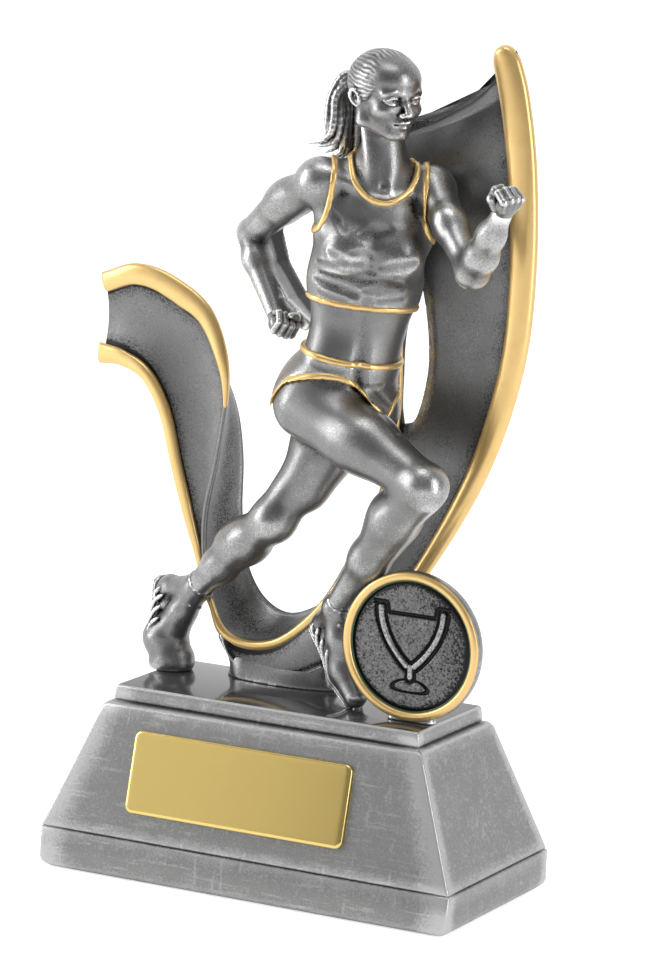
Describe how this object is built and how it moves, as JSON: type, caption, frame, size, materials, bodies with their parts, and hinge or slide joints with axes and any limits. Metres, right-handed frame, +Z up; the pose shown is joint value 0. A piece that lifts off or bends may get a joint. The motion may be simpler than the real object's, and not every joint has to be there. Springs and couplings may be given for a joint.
{
  "type": "figure trophy",
  "caption": "Figure trophy: a running woman in front of a twisted ribbon, with a round cup medallion, on a sloping rectangular plinth.",
  "frame": {"origin": "middle of the plinth's underside, on the base pad's lower face", "axes": "+Z up, +X to the viewer's right from the front, +Y to the back; the engraving plate and medallion face -Y"},
  "size_m": [0.1082, 0.0456, 0.1718],
  "materials": {
    "plinth_silver": "dry-brushed silver over dark wash, satin",
    "antique_silver": "antiqued silver, dark in the hollows, satin",
    "rim_gold": "smooth bright gold paint",
    "plate_gold": "polished gold anodised",
    "antique_insert": "antiqued pewter, dark grain",
    "foam_black": "closed-cell foam",
    "adhesive": "adhesive film",
    "screw_steel": "zinc-plated steel",
    "insert_brass": "machined brass"
  },
  "bodies": {
    "root": {"plinth": "plinth_silver", "base_pad": "foam_black", "engraving_plate": "plate_gold", "plate_tape": "adhesive", "ribbon": "antique_silver", "runner": "antique_silver", "medallion_holder": "rim_gold", "centre_insert": "antique_insert", "insert_tape": "adhesive", "ribbon_screw_left": "screw_steel", "ribbon_screw_right": "screw_steel", "ribbon_washer_left": "screw_steel", "ribbon_washer_right": "screw_steel", "ribbon_insert_left": "insert_brass", "ribbon_insert_right": "insert_brass", "rear_foot_pin": "screw_steel", "front_foot_pin": "screw_steel", "holder_pin_left": "screw_steel", "holder_pin_right": "screw_steel", "back_dowel": "screw_steel"}
  },
  "joints": []
}
